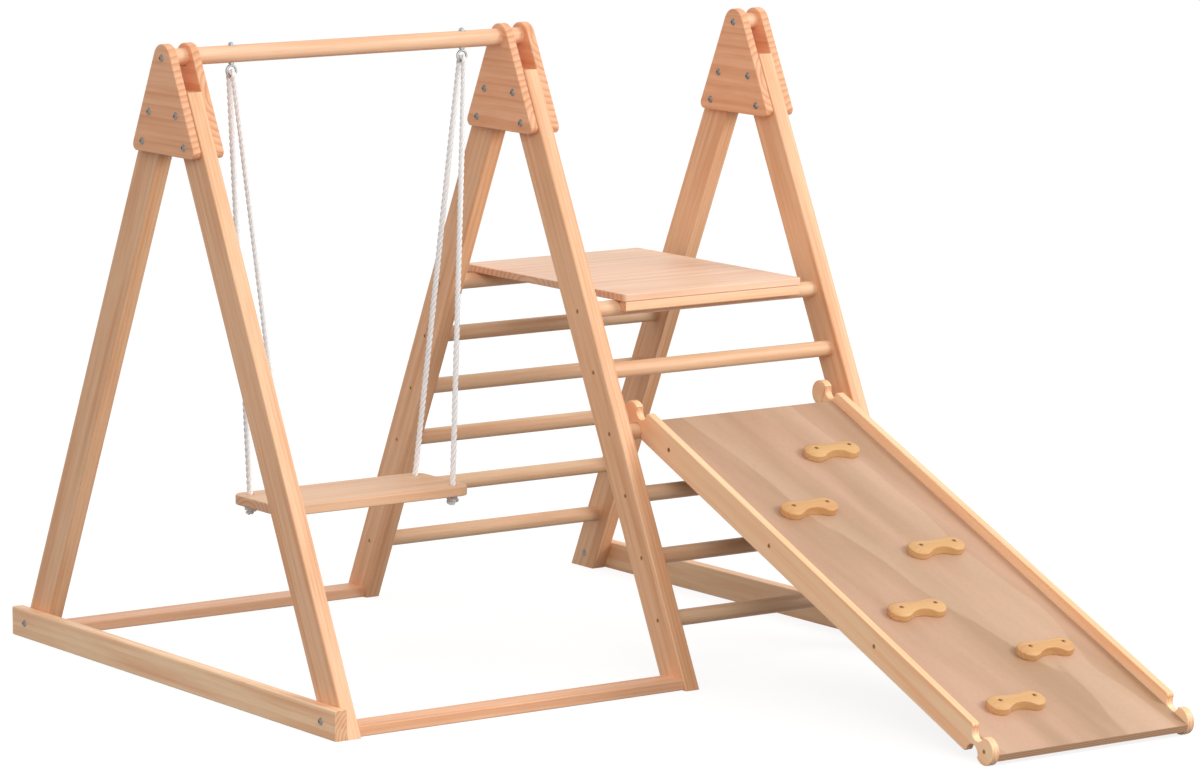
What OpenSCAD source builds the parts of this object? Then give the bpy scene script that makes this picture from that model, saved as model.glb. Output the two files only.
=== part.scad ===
// Wooden climbing frame: three A-frames in a row, a swing bay, a ladder tower
// with a platform, and a hooked climbing ramp.
// Millimetres, +Z up, floor at zero, +X along the row, +Y away from the ramp.

/* [Frames] */
// height of the top bar's axis above the floor
bar_z = 1223; // [1150:1:1300]
// distance, on the floor, between the two lines from the top bar through a frame's bolts
foot_spread = 1172; // [1080:2:1260]
// distance from the left frame to the middle frame
swing_bay = 771; // [740:1:860]
// distance from the middle frame to the right frame
tower_bay = 576; // [550:1:640]
// width of a leg, across its lean
leg_w = 75; // [68:1:80]
// thickness of a leg, along the row
leg_t = 32; // [26:1:40]
// distance of a leg's middle inside the line through its bolts and rungs
leg_in = 4.5; // [2:0.5:7]
// eased radius on the long edges of the timbers
ease_r = 3; // [1:0.5:5]
// distance from the top bar's axis down to the level cut of the legs
leg_top_drop = 62; // [58:1:80]

/* [Gusset plates] */
// thickness of a gusset plate
gusset_t = 18; // [15:1:22]
// distance from the top bar's axis up to the top edge
gusset_rise = 27; // [25:1:34]
// distance from the top bar's axis down to the bottom edge
gusset_drop = 186; // [176:1:210]
// radius of a plate's two lower corners
gusset_r = 12; // [8:1:18]
// distance of a plate's sloping edges inside the legs' outer edges
gusset_in = 3.5; // [1:0.5:5]
// share of the plate's drop at which each pair of leg bolts sits
gusset_bolt_shares = [0.574, 0.89];

/* [Top bar] */
// diameter of the top bar and of the spacer dowel
bar_d = 34; // [30:1:38]

/* [Base] */
// thickness of a base beam, along the row
beam_t = 26; // [20:1:34]
// height of a base beam
beam_h = 58; // [56:1:70]
// length that a base beam runs past the leg centrelines at each end
beam_past = 36; // [34:1:60]
// share of the beam's height at which its bolts sit
beam_bolt_share = 0.53;
// width of a floor rail, front to back
rail_w = 60; // [50:1:62]
// height of a floor rail
rail_h = 21; // [18:1:22]
// share of the rail's width between its two screws
rail_screw_share = 0.5;

/* [Ladder] */
// diameter of a rung
rung_d = 32; // [28:1:35]
// height of the top rungs' axis
top_rung_z = 699; // [680:1:720]
// height from one rung to the next
rung_pitch = 115; // [105:1:118]
// rung, counted from the top, that the ramp hooks on
hook_rung = "third"; // [second, third]

/* [Platform] */
// width of the platform board, along the row
board_w = 436; // [400:1:470]
// thickness of the platform board
board_t = 15; // [12:1:20]
// corner radius of the platform board
board_r = 10; // [4:1:25]
// width that the board runs past its battens
board_lip = 2; // [0:0.5:6]
// thickness of a batten, front to back
batten_t = 20; // [16:1:26]
// height of a batten under the board
batten_h = 20; // [16:1:24]
// set-back of a batten's ends from the board's ends
batten_inset = 6; // [0:1:40]
// share of the batten's length between its outer screws
batten_screw_share = 0.82;

/* [Swing] */
// distance between the two eye bolts
eye_spread = 530; // [500:1:560]
// wire diameter of an eye bolt
eye_wire = 5; // [4:0.5:6]
// radius of an eye, to the middle of its wire
eye_r = 10.5; // [10:0.5:14]
// diameter of the rope
rope_d = 12; // [9:0.5:12.5]
// width of the seat, along the row
seat_w = 442; // [430:1:460]
// depth of the seat, front to back
seat_d = 196; // [185:1:215]
// thickness of the seat
seat_t = 20; // [16:1:24]
// height of the seat's top
seat_z = 345; // [300:1:420]
// corner radius of the seat
seat_r = 28; // [10:1:34]
// distance from a rope hole to the seat's end
hole_end = 29; // [24:1:36]
// distance from a rope hole to the seat's long edge
hole_edge = 28; // [20:1:40]
// diameter of a rope hole
hole_d = 15.4; // [15.2:0.1:17]
// diameter of a stopper knot
knot_d = 29; // [24:0.5:32]
// height of a stopper knot
knot_h = 17; // [13:0.5:20]
// share of a knot's height that each of its edges is rounded by
knot_round_share = 0.33;
// length of loose rope under a knot
rope_tail = 6; // [4:1:20]

/* [Ramp] */
// length of the ramp between the centres of its end lobes
ramp_len = 1220; // [1120:1:1320]
// width of the ramp over its rails
ramp_w = 478; // [460:1:520]
// width of a ramp rail, edge to edge
ramp_rail_w = 60; // [58:1:66]
// radius of the round corners beside a notch, and the depth of a notch's middle
horn_r = 8; // [6:0.5:9]
// thickness of a ramp rail
ramp_rail_t = 16; // [14:1:22]
// diameter of the round lobes at the ends of a rail
lobe_d = 52; // [50:1:56]
// thickness of the climbing panel
panel_t = 15; // [12:1:16]
// distance from the hook rung's axis to the panel's upper edge
panel_gap = 14; // [12:1:40]
// distance from the panel's foot to the lobes' front
panel_foot = 1; // [0:0.5:10]
// shares of the ramp's length at which the rail screws sit
ramp_screw_shares = [0, 0.295, 0.59, 0.885];

/* [Climbing holds] */
// diameter of a hold's two ends
hold_d = 48; // [40:1:54]
// distance between the centres of a hold's ends
hold_len = 80; // [70:1:100]
// radius of the hollow on each side of a hold
hold_waist_r = 50; // [40:1:80]
// thickness of a hold
hold_t = 20; // [16:1:26]
// radius of a hold's domed top
hold_dome_r = 44; // [34:1:60]
// depth of a hold's screw heads under the top of the dome
hold_sink = 1; // [0.5:0.25:2]
// distance of a column of holds from the ramp's middle
hold_x = 90; // [70:1:100]
// shares of the ramp's length at which the holds sit, from the foot up
hold_shares = [0.09, 0.212, 0.356, 0.511, 0.66, 0.811];

/* [Fasteners] */
// diameter of the machine bolts
bolt_d = 8; // [6:0.5:9]
// diameter of a bolt's or cap nut's round head
bolt_head_d = 15; // [14:0.5:18]
// height of a round head
bolt_head_h = 4.5; // [4:0.5:6]
// diameter of the wood screws
screw_d = 5; // [4:0.5:6]
// diameter of a wood screw's head
screw_head_d = 9; // [8:0.5:11]
// height of a wood screw's head
screw_head_h = 3.5; // [3:0.25:5]
// length of a screw in the piece that it draws up
screw_bite = 40; // [25:1:50]
// across the points of a driver socket
socket_d = 5; // [3:0.5:5]
// depth of a driver socket
socket_h = 2; // [1:0.25:2.5]
// thickness of a washer
washer_t = 1.6; // [1:0.1:2.5]
// diameter of a washer and of the flat that it sits on
washer_d = 16; // [14:0.5:18]
// height of an eye bolt's nut
nut_h = 4.5; // [4:0.5:6]
// across the points of an eye bolt's nut
nut_d = 11.5; // [10.5:0.1:13]

/* [Clearances] */
// gap around a bolt or screw in its hole, on the radius
fit_gap = 0.2; // [0.1:0.05:0.4]
// gap around the top bar in a plate, and of the battens from the rungs
seat_gap = 0.3; // [0.2:0.05:0.6]
// running gap between pieces that move on each other
run_gap = 0.3; // [0.2:0.05:0.6]

/* [Hidden] */
$fn = 64;
// reach of a cutting solid past the face that it cuts
over = 5;
// rungs on each side of the ladder
rungs = 6;
// sides of a nut or of a driver socket
hex = 6;
// wall left at the bottom of a cap nut
nut_wall = 1.5;
// height of the collar between an eye and its shank
collar_h = 3;
// thread left standing over an eye bolt's nut
thread_end = 1.5;
// thickness left over a batten screw's tip
tip_wall = 4;
// squeeze of the rope where it bends over the eye, on the radius
rope_nip = 0.25;
// length of straight rope that takes in the end of the bend
rope_lap = 1;

bar_r = bar_d / 2;
rung_r = rung_d / 2;
lean = foot_spread / 2 / bar_z;
lean_a = atan(lean);
leg_half = leg_w / 2 / cos(lean_a);
leg_top = bar_z - leg_top_drop;
end_cut = 2 * leg_w;
x1 = -(swing_bay + tower_bay) / 2;
x2 = x1 + swing_bay;
x3 = x2 + tower_bay;
xs = (x1 + x2) / 2;
xt = (x2 + x3) / 2;
plate_x = leg_t / 2 + gusset_t;
gusset_side = leg_half - leg_in - gusset_in;
gusset_crown_z = (gusset_rise - gusset_side * cos(lean_a)) / (1 - sin(lean_a));
gusset_crown_r = gusset_rise - gusset_crown_z;
gusset_low_z = gusset_r - gusset_drop;
gusset_low_y = gusset_side - lean * gusset_low_z - gusset_r / cos(lean_a);
bolt_drops = gusset_drop * gusset_bolt_shares;
beam_half = foot_spread / 2 + beam_past;
beam_bolt_z = beam_h * beam_bolt_share;
rail_len = swing_bay - leg_t;
rail_y = lean * (bar_z - rail_h / 2);
rail_screw = rail_w * rail_screw_share / 2;
rung_len = tower_bay - leg_t;
bolt_hole = bolt_d + 2 * fit_gap;
screw_hole = screw_d + 2 * fit_gap;
board_z = top_rung_z + rung_r;
batten_y = lean * (bar_z - top_rung_z) + rung_r + seat_gap;
board_half = batten_y + batten_t + board_lip;
batten_len = board_w - 2 * batten_inset;
batten_screw = batten_len * batten_screw_share / 2;
batten_screw_len = batten_h + board_t - tip_wall;
eye_z = bar_z - bar_r - collar_h - eye_wire / 2 - 2 * eye_r;
bend_r = eye_wire / 2 + run_gap + rope_d / 2;
hole_x = seat_w / 2 - hole_end;
hole_y = seat_d / 2 - hole_edge;
rope_fall = eye_z - seat_z + seat_t / 2;
rope_in = eye_spread / 2 - hole_x;
rope_tilt = atan(rope_in / rope_fall);
rope_drop = sqrt(pow(rope_fall, 2) + pow(rope_in, 2));
rope_reach = sqrt(pow(hole_y, 2) + pow(rope_drop, 2));
rope_from = atan(hole_y / rope_drop) + acos(bend_r / rope_reach);
rope_splay = rope_from - 90;
rope_run = sqrt(pow(rope_reach, 2) - pow(bend_r, 2)) + seat_t / 2 + knot_h + rope_tail;
lobe_r = lobe_d / 2;
rail_mid = ramp_rail_w / 2 - horn_r;
hook_r = rung_r + run_gap;
hook_in = hook_r + sqrt(pow(lobe_r, 2) - pow(rail_mid, 2));
hook_steps = hook_rung == "third" ? 2 : 1;
hook_z = top_rung_z - rung_pitch * hook_steps;
hook_y = -lean * (bar_z - hook_z);
ramp_to_hook = ramp_len - hook_in;
ramp_reach = sqrt(pow(ramp_to_hook, 2) + pow(rail_mid, 2));
ramp_a = asin((hook_z - lobe_r) / ramp_reach) + atan(rail_mid / ramp_to_hook);
foot_y = hook_y - ramp_to_hook * cos(ramp_a) - rail_mid * sin(ramp_a);
notch_at = [hook_in - ramp_to_hook, 0];
panel_w = ramp_w - 2 * ramp_rail_t;
panel_low = hook_in - ramp_len - lobe_r + panel_foot;
panel_high = -panel_gap;
hold_off = sqrt(pow(hold_d / 2 + hold_waist_r, 2) - pow(hold_len / 2, 2));
hold_tan = hold_waist_r / (hold_d / 2 + hold_waist_r);
hold_screw_len = hold_t + panel_t - tip_wall - screw_head_h;
y0 = -(foot_y - lobe_r + beam_half) / 2;

// Shared shapes
function unit(v) = v / norm(v);
function away(p, q) = let (d = unit(q - p)) [d[1], -d[0]];
function rung_z(k) = top_rung_z - rung_pitch * (k - 1);
function spread(z) = lean * (bar_z - z);

// rounded outline around corner centres given anticlockwise
module rounded(c, r) {
  n = len(c);
  polygon([for (i = [0 : n - 1]) let (a = c[(i + n - 1) % n], b = c[(i + 1) % n])
    each [c[i] + r * away(a, c[i]), c[i] + r * away(c[i], b)]]);
  for (p = c) translate(p) circle(r);
}

module rounded_rect(w, d, r) {
  a = w / 2 - r;
  b = d / 2 - r;
  rounded([[-a, -b], [a, -b], [a, b], [-a, b]], r);
}

// outline drawn as Y and Z, given a thickness along +X
module side_plate(t) rotate([90, 0, 90]) linear_extrude(height = t) children();

// solid drawn along +Z, turned to point along X
module to_x(p, way) translate(p) rotate([0, way * 90, 0]) children();

module cross_hole(y, z, d, l)
  translate([-l / 2, y, z]) rotate([0, 90, 0]) cylinder(h = l, d = d);

module dome(d, h) {
  r = (d * d / 4 + h * h) / (2 * h);
  rotate_extrude() intersection() {
    translate([0, h - r]) circle(r);
    square([d / 2, h]);
  }
}

// round-headed bolt with its head on +Z and its shank on -Z
module headed(d, head_d, head_h, l) {
  difference() {
    dome(head_d, head_h);
    translate([0, 0, head_h - socket_h])
      cylinder(h = socket_h + over, d = socket_d, $fn = hex);
  }
  translate([0, 0, -l]) cylinder(h = l, d = d);
}

// flat-headed screw, head top at zero, shank on -Z
module flat_screw(l) {
  translate([0, 0, -screw_head_h]) difference() {
    cylinder(h = screw_head_h, d = screw_head_d);
    translate([0, 0, screw_head_h - socket_h])
      cylinder(h = socket_h + over, d = socket_d, $fn = hex);
  }
  translate([0, 0, -l]) cylinder(h = l - screw_head_h, d = screw_d);
}

// hole for a flat-headed screw, drawn like the screw
module flat_screw_hole(l) {
  translate([0, 0, -screw_head_h])
    cylinder(h = screw_head_h + over, d = screw_head_d + 2 * fit_gap);
  translate([0, 0, -l - fit_gap]) cylinder(h = l, d = screw_hole);
}

module cap_nut() difference() {
  dome(bolt_head_d, bolt_head_h);
  translate([0, 0, -over])
    cylinder(h = over + bolt_head_h - nut_wall, d = bolt_hole);
}

// block that takes off all of a leg over a stretch of depth and height
module leg_cut(y, z, depth, height) translate([-leg_t / 2 - over, y, z])
  cube([leg_t + 2 * over, depth, height]);

// A-frames, with the legs mitred against each other under the level cut
module leg(x, side, rung_side, beam_side, rail_side) translate([x, y0, 0])
  difference() {
    translate([0, side * (foot_spread / 2 - leg_in), 0]) rotate([side * lean_a, 0, 0])
      translate([0, 0, -leg_w]) linear_extrude(height = bar_z + 2 * leg_w)
        rounded_rect(leg_t, leg_w, ease_r);
    leg_cut(-foot_spread, -end_cut, 2 * foot_spread, end_cut);
    leg_cut(-foot_spread, leg_top, 2 * foot_spread, bar_z - leg_top + end_cut);
    leg_cut(side < 0 ? -fit_gap : fit_gap - end_cut, 0, end_cut, bar_z);
    for (d = bolt_drops) cross_hole(side * lean * d, bar_z - d, bolt_hole, leg_t + over);
    if (rung_side != 0) for (k = [1 : rungs])
      to_x([rung_side * leg_t / 2, side * spread(rung_z(k)), rung_z(k)], rung_side)
        flat_screw_hole(leg_t + over);
    if (beam_side != 0)
      cross_hole(side * spread(beam_bolt_z), beam_bolt_z, bolt_hole, leg_t + over);
    if (rail_side != 0) for (e = [-1, 1])
      to_x([-rail_side * leg_t / 2, side * rail_y + e * rail_screw, rail_h / 2], -rail_side)
        flat_screw_hole(leg_t + over);
  }

module left_front_leg() color("burlywood") leg(x1, -1, 0, -1, 1);
module left_rear_leg() color("burlywood") leg(x1, 1, 0, -1, 1);
module middle_front_leg() color("burlywood") leg(x2, -1, -1, 0, -1);
module middle_rear_leg() color("burlywood") leg(x2, 1, -1, 0, -1);
module right_front_leg() color("burlywood") leg(x3, -1, 1, 1, 0);
module right_rear_leg() color("burlywood") leg(x3, 1, 1, 1, 0);

// Gusset plates with edges along the legs and a round top; the two that face the
// swing let the top bar through
module gusset_outline() {
  c = cos(lean_a);
  n = sin(lean_a);
  translate([0, gusset_crown_z]) circle(gusset_crown_r);
  for (e = [-1, 1]) translate([e * gusset_low_y, gusset_low_z]) circle(gusset_r);
  polygon([[-gusset_low_y, -gusset_drop], [gusset_low_y, -gusset_drop],
    [gusset_low_y + gusset_r * c, gusset_low_z + gusset_r * n],
    [gusset_crown_r * c, gusset_crown_z + gusset_crown_r * n],
    [-gusset_crown_r * c, gusset_crown_z + gusset_crown_r * n],
    [-gusset_low_y - gusset_r * c, gusset_low_z + gusset_r * n]]);
}

module gusset(x, side, top_hole)
  translate([x + (side > 0 ? leg_t / 2 : -plate_x), y0, bar_z]) difference() {
    side_plate(gusset_t) gusset_outline();
    translate([gusset_t / 2, 0, 0]) {
      cross_hole(0, 0, top_hole, gusset_t + over);
      for (d = bolt_drops, e = [-1, 1])
        cross_hole(e * lean * d, -d, bolt_hole, gusset_t + over);
    }
  }

module left_outer_gusset() color("tan") gusset(x1, -1, bolt_hole);
module left_inner_gusset() color("tan") gusset(x1, 1, bar_d + 2 * seat_gap);
module middle_swing_side_gusset() color("tan") gusset(x2, -1, bar_d + 2 * seat_gap);
module middle_tower_side_gusset() color("tan") gusset(x2, 1, bolt_hole);
module right_inner_gusset() color("tan") gusset(x3, -1, bolt_hole);
module right_outer_gusset() color("tan") gusset(x3, 1, bolt_hole);

// Top bar, butted between the outer plates and bored for the two eye bolts
module swing_bar() color("burlywood") translate([0, y0, bar_z]) difference() {
  to_x([x1 - leg_t / 2, 0, 0], 1) cylinder(h = swing_bay + leg_t, d = bar_d);
  for (e = [-1, 1]) {
    to_x([xs + e * (swing_bay + leg_t) / 2, 0, 0], e)
      translate([0, 0, -screw_bite - fit_gap])
        cylinder(h = screw_bite + over, d = bolt_hole);
    translate([xs + e * eye_spread / 2, 0, 0]) {
      translate([0, 0, -bar_d]) cylinder(h = 2 * bar_d, d = eye_wire + 2 * fit_gap);
      translate([0, 0, bar_r - washer_t]) cylinder(h = over, d = washer_d + 2 * fit_gap);
      translate([0, 0, -bar_r + washer_t - over]) cylinder(h = over, d = washer_d);
    }
  }
}

module right_spacer_dowel() color("burlywood") translate([x3 - leg_t / 2, y0, bar_z])
  difference() {
    to_x([0, 0, 0], 1) cylinder(h = leg_t, d = bar_d);
    to_x([-over, 0, 0], 1) cylinder(h = leg_t + 2 * over, d = bolt_hole);
  }

// Base beams on the outer faces of the end frames
module base_beam(x, side) translate([x + side * (leg_t + beam_t) / 2, y0, 0])
  difference() {
    translate([0, beam_half, beam_h / 2]) rotate([90, 0, 0])
      linear_extrude(height = 2 * beam_half) rounded_rect(beam_t, beam_h, ease_r);
    for (e = [-1, 1]) cross_hole(e * spread(beam_bolt_z), beam_bolt_z, bolt_hole, beam_t + over);
  }

module left_base_beam() color("burlywood") base_beam(x1, -1);
module right_base_beam() color("burlywood") base_beam(x3, 1);

// Floor rails laid flat between the feet of the left and the middle frame
module floor_rail(side) translate([xs, y0 + side * rail_y, rail_h / 2]) difference() {
  translate([-rail_len / 2, 0, 0]) side_plate(rail_len) rounded_rect(rail_w, rail_h, ease_r);
  for (w = [-1, 1], e = [-1, 1])
    to_x([w * rail_len / 2, e * rail_screw, 0], w)
      translate([0, 0, -screw_bite - fit_gap])
        cylinder(h = screw_bite + over, d = screw_hole);
}

module front_floor_rail() color("burlywood") floor_rail(-1);
module rear_floor_rail() color("burlywood") floor_rail(1);

// Rungs, butted between the legs of the tower
module rung(side, k) color("burlywood")
  translate([xt, y0 + side * spread(rung_z(k)), rung_z(k)]) difference() {
    to_x([-rung_len / 2, 0, 0], 1) cylinder(h = rung_len, d = rung_d);
    for (w = [-1, 1]) to_x([w * rung_len / 2, 0, 0], w)
      translate([0, 0, -screw_bite - fit_gap])
        cylinder(h = screw_bite + over, d = screw_hole);
  }

module front_rung_1() rung(-1, 1);
module front_rung_2() rung(-1, 2);
module front_rung_3() rung(-1, 3);
module front_rung_4() rung(-1, 4);
module front_rung_5() rung(-1, 5);
module front_rung_6() rung(-1, 6);
module rear_rung_1() rung(1, 1);
module rear_rung_2() rung(1, 2);
module rear_rung_3() rung(1, 3);
module rear_rung_4() rung(1, 4);
module rear_rung_5() rung(1, 5);
module rear_rung_6() rung(1, 6);

// Platform board on the top rungs, held by a batten outside each rung
module batten_screw_at(side) for (e = [-1, 0, 1])
  translate([xt + e * batten_screw, y0 + side * (batten_y + batten_t / 2), board_z - batten_h])
    mirror([0, 0, 1]) children();

module platform_board() color("wheat") difference() {
  translate([xt, y0, board_z]) linear_extrude(height = board_t)
    rounded_rect(board_w, 2 * board_half, board_r);
  for (s = [-1, 1]) batten_screw_at(s) flat_screw_hole(batten_screw_len);
}

module batten(side) color("burlywood") difference() {
  translate([xt - batten_len / 2, y0 + side * (batten_y + batten_t / 2), board_z - batten_h / 2])
    side_plate(batten_len) rounded_rect(batten_t, batten_h, ease_r);
  batten_screw_at(side) flat_screw_hole(batten_screw_len);
}

module platform_front_batten() batten(-1);
module platform_rear_batten() batten(1);

module platform_batten_screws() color("silver")
  for (s = [-1, 1]) batten_screw_at(s) flat_screw(batten_screw_len);

// Bolts through plates and legs, with cap nuts on the +X side
module through_bolt_at(x) for (d = bolt_drops, e = [-1, 1])
  translate([x, y0 + e * lean * d, bar_z - d]) children();

module bolt_points() {
  through_bolt_at(x1) children();
  through_bolt_at(x2) children();
  through_bolt_at(x3) children();
  translate([x3, y0, bar_z]) children();
}

module gusset_bolts() color("silver") bolt_points() to_x([-plate_x, 0, 0], -1)
  headed(bolt_d, bolt_head_d, bolt_head_h, 2 * plate_x + bolt_head_h - nut_wall - fit_gap);

module gusset_cap_nuts() color("silver") bolt_points() to_x([plate_x, 0, 0], 1) cap_nut();

module bar_end_bolts() color("silver") for (e = [-1, 1])
  to_x([xs + e * (swing_bay / 2 + plate_x), y0, bar_z], e)
    headed(bolt_d, bolt_head_d, bolt_head_h, gusset_t + screw_bite);

// Bolts of the base beams
module beam_bolt_at() for (e = [-1, 1], s = [-1, 1])
  translate([s < 0 ? x1 : x3, y0 + e * spread(beam_bolt_z), beam_bolt_z])
    rotate([0, 0, s < 0 ? 180 : 0]) children();

module base_beam_bolts() color("silver") beam_bolt_at() to_x([leg_t / 2 + beam_t, 0, 0], 1)
  headed(bolt_d, bolt_head_d, bolt_head_h, leg_t + beam_t + bolt_head_h - nut_wall - fit_gap);

module base_beam_cap_nuts() color("silver") beam_bolt_at() to_x([-leg_t / 2, 0, 0], -1) cap_nut();

// Flat-headed screws into the ends of the floor rails
module floor_rail_screws() color("silver") for (w = [-1, 1], s = [-1, 1], e = [-1, 1])
  to_x([xs + w * (swing_bay + leg_t) / 2, y0 + s * rail_y + e * rail_screw, rail_h / 2], w)
    flat_screw(leg_t + screw_bite);

// Flat-headed screws into the ends of the rungs
module rung_screws() color("silver") for (w = [-1, 1], s = [-1, 1], k = [1 : rungs])
  to_x([xt + w * (tower_bay + leg_t) / 2, y0 + s * spread(rung_z(k)), rung_z(k)], w)
    flat_screw(leg_t + screw_bite);

// Eye bolts down through the top bar
module eye_at() for (e = [-1, 1]) translate([xs + e * eye_spread / 2, y0, 0]) children();

module swing_eye_bolts() color("silver") eye_at() {
  translate([0, 0, eye_z + eye_r]) rotate([90, 0, 0])
    rotate_extrude() translate([eye_r, 0]) circle(eye_wire / 2);
  translate([0, 0, bar_z - bar_r - collar_h])
    cylinder(h = collar_h + washer_t, d = washer_d - eye_wire);
  translate([0, 0, eye_z + 2 * eye_r])
    cylinder(h = bar_z + bar_r + nut_h + thread_end - eye_z - 2 * eye_r, d = eye_wire);
}

module eye_bolt_washers() color("silver") eye_at() translate([0, 0, bar_z + bar_r - washer_t])
  difference() {
    cylinder(h = washer_t, d = washer_d);
    translate([0, 0, -over]) cylinder(h = washer_t + 2 * over, d = eye_wire + 2 * fit_gap);
  }

module eye_bolt_nuts() color("silver") eye_at() translate([0, 0, bar_z + bar_r]) difference() {
  cylinder(h = nut_h, d = nut_d, $fn = hex);
  translate([0, 0, -over]) cylinder(h = nut_h + 2 * over, d = eye_wire + 2 * fit_gap);
}

// Swing seat with a vertical hole for each rope
module swing_seat() color("burlywood") translate([xs, y0, seat_z - seat_t]) difference() {
  linear_extrude(height = seat_t) rounded_rect(seat_w, seat_d, seat_r);
  for (e = [-1, 1], f = [-1, 1]) translate([e * hole_x, f * hole_y, -over])
    cylinder(h = seat_t + 2 * over, d = hole_d);
}

// One rope a side: over the eye's wire, down to two holes, and a stopper knot under each
module swing_rope(e) color("ivory") translate([xs, y0, 0]) {
  translate([e * eye_spread / 2, 0, eye_z]) rotate([0, e * rope_tilt, 0]) {
    rotate([0, 90, 0]) rotate([0, 0, rope_from])
      rotate_extrude(angle = 360 - 2 * rope_from)
        translate([bend_r, 0]) circle(rope_d / 2 - rope_nip);
    for (f = [-1, 1])
      translate([0, f * bend_r * sin(rope_from), -bend_r * cos(rope_from)])
        rotate([f * rope_splay, 0, 0]) translate([0, 0, -rope_run])
          cylinder(h = rope_run + rope_lap, d = rope_d);
  }
  for (f = [-1, 1])
    translate([e * hole_x, f * hole_y, seat_z - seat_t - knot_h]) rotate_extrude() intersection() {
      translate([0, knot_h / 2]) rounded_rect(knot_d, knot_h, knot_h * knot_round_share);
      square([knot_d, knot_h]);
    }
}

module swing_left_rope() swing_rope(-1);
module swing_right_rope() swing_rope(1);

// Ramp, drawn level with the hook rung's axis at zero and then leaned to the floor
module ramp_place() translate([xt, y0 + hook_y, hook_z]) rotate([ramp_a, 0, 0]) children();

// rail with round horns beside its half-round notches, and a lobe past each pair of them
module rail_outline() difference() {
  union() {
    translate([hook_in - ramp_len / 2, rail_mid])
      rounded_rect(ramp_len - 2 * (hook_in + hook_r), ramp_rail_w, horn_r);
    for (y = notch_at) translate([y - hook_r - horn_r, 0])
      square([2 * (hook_r + horn_r), 2 * rail_mid]);
    for (y = [-ramp_to_hook, hook_in]) translate([y, rail_mid]) circle(lobe_r);
  }
  for (y = notch_at, z = [0, 2 * rail_mid]) translate([y, z]) circle(hook_r);
}

module ramp_screw_at(side) for (k = ramp_screw_shares)
  to_x([side * ramp_w / 2, hook_in - ramp_len + k * ramp_len, rail_mid], side) children();

module ramp_rail(side) color("burlywood") ramp_place() difference() {
  translate([side > 0 ? panel_w / 2 : -ramp_w / 2, 0, 0]) side_plate(ramp_rail_t) rail_outline();
  ramp_screw_at(side) flat_screw_hole(ramp_rail_t + over);
}

module ramp_left_rail() ramp_rail(-1);
module ramp_right_rail() ramp_rail(1);

module ramp_panel() color("peru") ramp_place() difference() {
  translate([-panel_w / 2, panel_low, rail_mid - panel_t / 2])
    cube([panel_w, panel_high - panel_low, panel_t]);
  for (s = [-1, 1]) ramp_screw_at(s) flat_screw_hole(ramp_rail_t + screw_bite);
  for (k = [1 : len(hold_shares)]) hold_place(k) hold_screw_at() flat_screw_hole(hold_screw_len);
}

module ramp_rail_screws() color("silver") ramp_place()
  for (s = [-1, 1]) ramp_screw_at(s) flat_screw(ramp_rail_t + screw_bite);

// Climbing holds: two round ends joined by a waist with hollow sides, under a domed top
module hold_place(k) translate([(k % 2 == 1 ? -1 : 1) * hold_x,
  hook_in - ramp_len + hold_shares[k - 1] * ramp_len, rail_mid + panel_t / 2]) children();

module hold_screw_at() for (e = [-1, 1])
  translate([e * hold_len / 2, 0, hold_t - hold_sink]) children();

module hold_outline() {
  for (e = [-1, 1]) translate([e * hold_len / 2, 0]) circle(d = hold_d);
  difference() {
    square([hold_tan * hold_len, 2 * (1 - hold_tan) * hold_off], center = true);
    for (e = [-1, 1]) translate([0, e * hold_off]) circle(hold_waist_r);
  }
}

// round-ended bar whose upper side is the dome
module hold_dome() to_x([-hold_len / 2, 0, hold_t - hold_dome_r], 1)
  rotate_extrude() intersection() {
    union() {
      square([hold_dome_r, hold_len]);
      circle(hold_dome_r);
      translate([0, hold_len]) circle(hold_dome_r);
    }
    translate([0, -hold_dome_r]) square([hold_dome_r, hold_len + 2 * hold_dome_r]);
  }

module hold(k) color("sandybrown") ramp_place() hold_place(k) difference() {
  intersection() {
    linear_extrude(height = hold_t) hold_outline();
    hold_dome();
  }
  hold_screw_at() flat_screw_hole(hold_screw_len);
}

module climbing_hold_1() hold(1);
module climbing_hold_2() hold(2);
module climbing_hold_3() hold(3);
module climbing_hold_4() hold(4);
module climbing_hold_5() hold(5);
module climbing_hold_6() hold(6);

module climbing_hold_screws() color("silver") ramp_place()
  for (k = [1 : len(hold_shares)]) hold_place(k) hold_screw_at() flat_screw(hold_screw_len);

left_front_leg();
left_rear_leg();
middle_front_leg();
middle_rear_leg();
right_front_leg();
right_rear_leg();
left_outer_gusset();
left_inner_gusset();
middle_swing_side_gusset();
middle_tower_side_gusset();
right_inner_gusset();
right_outer_gusset();
swing_bar();
right_spacer_dowel();
left_base_beam();
right_base_beam();
front_floor_rail();
rear_floor_rail();
front_rung_1();
front_rung_2();
front_rung_3();
front_rung_4();
front_rung_5();
front_rung_6();
rear_rung_1();
rear_rung_2();
rear_rung_3();
rear_rung_4();
rear_rung_5();
rear_rung_6();
platform_board();
platform_front_batten();
platform_rear_batten();
platform_batten_screws();
gusset_bolts();
gusset_cap_nuts();
bar_end_bolts();
base_beam_bolts();
base_beam_cap_nuts();
floor_rail_screws();
rung_screws();
swing_eye_bolts();
eye_bolt_washers();
eye_bolt_nuts();
swing_seat();
swing_left_rope();
swing_right_rope();
ramp_left_rail();
ramp_right_rail();
ramp_panel();
climbing_hold_1();
climbing_hold_2();
climbing_hold_3();
climbing_hold_4();
climbing_hold_5();
climbing_hold_6();
climbing_hold_screws();
ramp_rail_screws();
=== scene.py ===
import math

import bmesh
import bpy
import numpy as np
from mathutils import Matrix, Vector


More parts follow.
